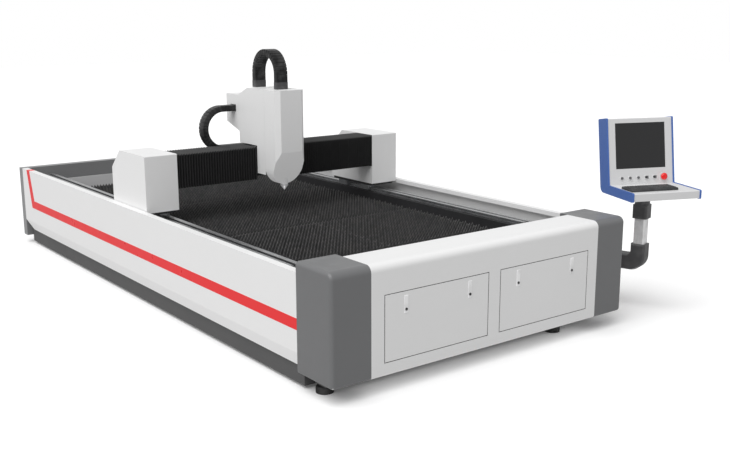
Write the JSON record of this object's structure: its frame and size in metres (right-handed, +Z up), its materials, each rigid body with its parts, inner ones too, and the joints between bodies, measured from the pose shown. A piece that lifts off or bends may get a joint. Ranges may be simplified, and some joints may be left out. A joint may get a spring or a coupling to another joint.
{
  "type": "fiber laser cutting machine",
  "caption": "Open-bed laser cutter for sheet metal: slatted bed between side panels, travelling gantry with a cutting head, front cabinet with doors, and a control console.",
  "frame": {"origin": "middle of the footprint, on the floor", "axes": "+X to the machine's right, +Y from the front cabinet to the rear, +Z up"},
  "size_m": [2.9868, 5.0038, 1.7453],
  "materials": {
    "white_paint": "semi-gloss powder coat",
    "grey_paint": "semi-gloss powder coat",
    "light_grey_paint": "semi-gloss paint",
    "frame_paint": "matt paint",
    "steel": "ground",
    "slat_steel": "dark mill scale",
    "rubber": "matt",
    "bellows_cloth": "coated cloth",
    "chain_plastic": "moulded",
    "motor_black": "matt",
    "alloy": "anodised",
    "barrel_grey": "anodised",
    "nozzle_plate": "plated",
    "elbow_grey": "cast, painted",
    "console_grey": "powder coat",
    "console_blue": "powder coat",
    "screen_glass": "dark glass",
    "black_plastic": "moulded",
    "button_metal": "plated",
    "key_steel": "plated",
    "stop_red": "moulded"
  },
  "bodies": {
    "frame": {"base_frame": "frame_paint", "levelling_feet": "rubber", "slag_pan": "frame_paint", "side_panel_left": "white_paint", "side_panel_right": "white_paint", "front_cover": "white_paint", "corner_cover_left": "grey_paint", "corner_cover_right": "grey_paint", "rear_cover": "grey_paint", "bed_rear_wall": "light_grey_paint", "bed_rails": "steel", "bed_racks": "steel", "slat_trays": "slat_steel", "slats": "slat_steel", "console_elbow": "elbow_grey", "console_column": "alloy"},
    "gantry": {"gantry_beam": "frame_paint", "gantry_cover_left": "white_paint", "gantry_cover_right": "white_paint", "bed_blocks": "steel", "gantry_motors": "motor_black", "beam_rails": "steel", "beam_rack": "steel", "bellows_left": "bellows_cloth", "bellows_right": "bellows_cloth", "beam_chain": "chain_plastic", "chain_tray": "frame_paint"},
    "bed_pinion_left": {"bed_pinion_left": "steel"},
    "bed_pinion_right": {"bed_pinion_right": "steel"},
    "carriage": {"carriage_plate": "steel", "lift_rails": "steel", "beam_blocks": "steel", "carriage_cover": "white_paint", "carriage_motor": "motor_black", "lift_motor": "motor_black"},
    "beam_pinion": {"beam_pinion": "steel"},
    "lift_screw": {"lift_screw": "steel"},
    "head": {"lift_slide": "steel", "head_cover": "white_paint", "cutting_barrel": "barrel_grey", "nozzle": "nozzle_plate", "head_chain": "chain_plastic"},
    "console": {"console_shell": "console_grey", "console_sides": "console_blue", "screen": "screen_glass", "keyboard": "black_plastic"},
    "emergency_stop": {"emergency_stop": "stop_red"},
    "door_left": {"door_left": "white_paint", "latch_plates_left": "alloy"},
    "latch_button_left_1": {"latch_button_left_1": "black_plastic"},
    "latch_button_left_2": {"latch_button_left_2": "black_plastic"},
    "door_right": {"door_right": "white_paint", "latch_plates_right": "alloy"},
    "latch_button_right_1": {"latch_button_right_1": "black_plastic"},
    "latch_button_right_2": {"latch_button_right_2": "black_plastic"},
    "push_button_1": {"push_button_1": "button_metal"},
    "push_button_2": {"push_button_2": "button_metal"},
    "push_button_3": {"push_button_3": "button_metal"},
    "key_switch_1": {"key_switch_1": "key_steel"},
    "key_switch_2": {"key_switch_2": "key_steel"}
  },
  "joints": [
    {"name": "gantry_travel", "type": "slide", "parent": "frame", "child": "gantry", "axis": [0, 1, 0], "range_m": [-1.175, 1.825]},
    {"name": "carriage_travel", "type": "slide", "parent": "gantry", "child": "carriage", "axis": [1, 0, 0], "range_m": [-0.6365, 0.8135], "deforming": ["bellows_left", "bellows_right", "beam_chain"]},
    {"name": "head_lift", "type": "slide", "parent": "carriage", "child": "head", "axis": [0, 0, 1], "range_m": [-0.12, 0.03], "deforming": ["head_chain"]},
    {"name": "bed_pinion_left_spin", "type": "hinge", "parent": "gantry", "child": "bed_pinion_left", "pos_m": [-1.35671, 0.41794, 0.597], "axis": [0, 0, 1], "continuous": true},
    {"name": "bed_pinion_right_spin", "type": "hinge", "parent": "gantry", "child": "bed_pinion_right", "pos_m": [0.66989, 0.41794, 0.597], "axis": [0, 0, 1], "continuous": true},
    {"name": "beam_pinion_spin", "type": "hinge", "parent": "carriage", "child": "beam_pinion", "pos_m": [-0.43191, 0.22724, 1.003], "axis": [0, 0, 1], "continuous": true},
    {"name": "lift_screw_spin", "type": "hinge", "parent": "carriage", "child": "lift_screw", "pos_m": [-0.43191, -0.02406, 1.1], "axis": [0, 0, 1], "continuous": true},
    {"name": "console_swivel", "type": "hinge", "parent": "frame", "child": "console", "pos_m": [1.18659, -2.13706, 0.7], "axis": [0, 0, 1], "range_deg": [-60, 60]},
    {"name": "emergency_stop_press", "type": "slide", "parent": "console", "child": "emergency_stop", "axis": [0.3665, 0.9163, -0.1616], "range_m": [0, 0.005], "stiffness_N_per_m": 900},
    {"name": "door_left_hinge", "type": "hinge", "parent": "frame", "child": "door_left", "pos_m": [-0.76841, -2.28906, 0.189], "axis": [1, 0, 0], "range_deg": [0, 90]},
    {"name": "latch_button_left_1_press", "type": "slide", "parent": "door_left", "child": "latch_button_left_1", "axis": [0, 1, 0], "range_m": [0, 0.002], "stiffness_N_per_m": 400},
    {"name": "latch_button_left_2_press", "type": "slide", "parent": "door_left", "child": "latch_button_left_2", "axis": [0, 1, 0], "range_m": [0, 0.002], "stiffness_N_per_m": 400},
    {"name": "door_right_hinge", "type": "hinge", "parent": "frame", "child": "door_right", "pos_m": [0.08159, -2.28906, 0.189], "axis": [1, 0, 0], "range_deg": [0, 90]},
    {"name": "latch_button_right_1_press", "type": "slide", "parent": "door_right", "child": "latch_button_right_1", "axis": [0, 1, 0], "range_m": [0, 0.002], "stiffness_N_per_m": 400},
    {"name": "latch_button_right_2_press", "type": "slide", "parent": "door_right", "child": "latch_button_right_2", "axis": [0, 1, 0], "range_m": [0, 0.002], "stiffness_N_per_m": 400},
    {"name": "push_button_1_press", "type": "slide", "parent": "console", "child": "push_button_1", "axis": [0.3665, 0.9163, -0.1616], "range_m": [0, 0.003], "stiffness_N_per_m": 400},
    {"name": "push_button_2_press", "type": "slide", "parent": "console", "child": "push_button_2", "axis": [0.3665, 0.9163, -0.1616], "range_m": [0, 0.003], "stiffness_N_per_m": 400},
    {"name": "push_button_3_press", "type": "slide", "parent": "console", "child": "push_button_3", "axis": [0.3665, 0.9163, -0.1616], "range_m": [0, 0.003], "stiffness_N_per_m": 400},
    {"name": "key_switch_1_turn", "type": "hinge", "parent": "console", "child": "key_switch_1", "pos_m": [1.23161, -2.11874, 0.9138], "axis": [0.3665, 0.9163, -0.1616], "range_deg": [0, 90]},
    {"name": "key_switch_2_turn", "type": "hinge", "parent": "console", "child": "key_switch_2", "pos_m": [1.28825, -2.14139, 0.9138], "axis": [0.3665, 0.9163, -0.1616], "range_deg": [0, 90]}
  ],
  "couplings": [
    {"joint": "bed_pinion_left_spin", "follows": "gantry_travel", "rad_per_m": -33.003},
    {"joint": "bed_pinion_right_spin", "follows": "gantry_travel", "rad_per_m": 33.003},
    {"joint": "beam_pinion_spin", "follows": "carriage_travel", "rad_per_m": -41.152},
    {"joint": "lift_screw_spin", "follows": "head_lift", "rad_per_m": 314.16}
  ]
}
